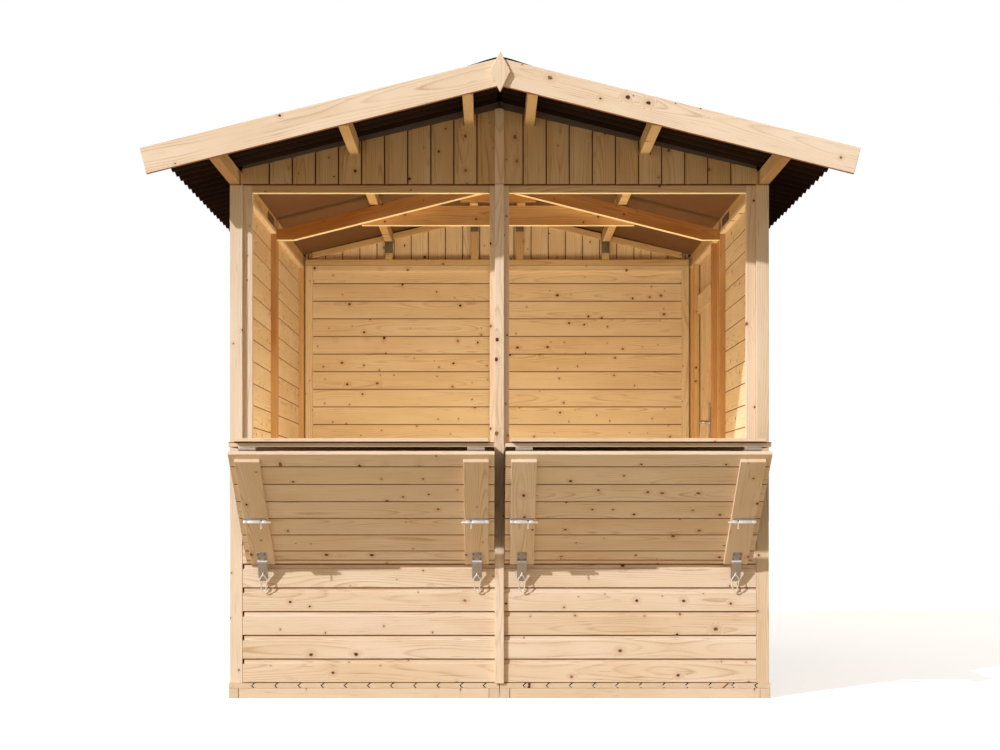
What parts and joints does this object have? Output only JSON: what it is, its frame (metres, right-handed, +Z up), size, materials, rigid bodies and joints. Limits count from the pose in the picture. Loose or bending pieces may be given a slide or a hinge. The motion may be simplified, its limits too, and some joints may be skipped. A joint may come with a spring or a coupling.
{
  "type": "wooden market stall",
  "caption": "Small timber market stall with a gabled corrugated roof, an open serving front whose folding shutters form counters, a boarded floor and a side door.",
  "frame": {"origin": "on the ground at the centre of the plan", "axes": "+Z up, the serving front faces -Y, the door is in the +X wall"},
  "size_m": [2.468, 2.92, 2.2671],
  "materials": {
    "spruce_boards": "planed, untreated",
    "frame_timber": "planed, untreated",
    "floor_boards": "planed, untreated",
    "floor_beams": "pressure treated",
    "zinc_steel": "zinc plated",
    "bitumen_sheet": "matt bitumen",
    "roof_lining": "smooth brown sheet",
    "dark_filler": "matt foam"
  },
  "bodies": {
    "stall": {"back_cladding": "spruce_boards", "back_gable": "spruce_boards", "back_rails": "frame_timber", "back_studs": "frame_timber", "bargeboards": "spruce_boards", "barrel_bolts": "zinc_steel", "centre_packer": "spruce_boards", "corner_boards": "spruce_boards", "counter_battens": "spruce_boards", "counter_leaves": "spruce_boards", "cover_strips": "spruce_boards", "door_hinge_plates": "zinc_steel", "eave_purlins": "frame_timber", "finials": "spruce_boards", "floor_cross_beams": "floor_beams", "floor_deck": "floor_boards", "floor_side_beams": "floor_beams", "front_cladding": "spruce_boards", "front_gable": "spruce_boards", "front_rails": "frame_timber", "front_studs": "frame_timber", "gable_rails": "frame_timber", "gable_studs": "frame_timber", "hasps": "zinc_steel", "left_cladding": "spruce_boards", "middle_purlins": "frame_timber", "ridge_cap": "bitumen_sheet", "ridge_purlins": "frame_timber", "right_cladding": "spruce_boards", "roof_brackets": "zinc_steel", "roof_lining": "roof_lining", "roof_sheet_left": "bitumen_sheet", "roof_sheet_right": "bitumen_sheet", "shutter_hinges": "zinc_steel", "side_rails": "frame_timber", "side_studs": "frame_timber", "snap_hooks": "zinc_steel", "support_battens": "spruce_boards", "support_leaves": "spruce_boards", "truss_gusset": "frame_timber", "truss_rafters": "frame_timber", "truss_tie": "frame_timber", "verge_fillers": "dark_filler"},
    "door": {"door_boards": "spruce_boards", "door_ledges": "spruce_boards", "door_brace": "spruce_boards", "door_hinge_straps": "zinc_steel", "door_handles": "zinc_steel"}
  },
  "joints": [
    {"name": "door_hinge", "type": "hinge", "parent": "stall", "child": "door", "pos_m": [1.013, 0.8215, 0.98], "axis": [0, 0, 1], "range_deg": [0, 105]}
  ]
}
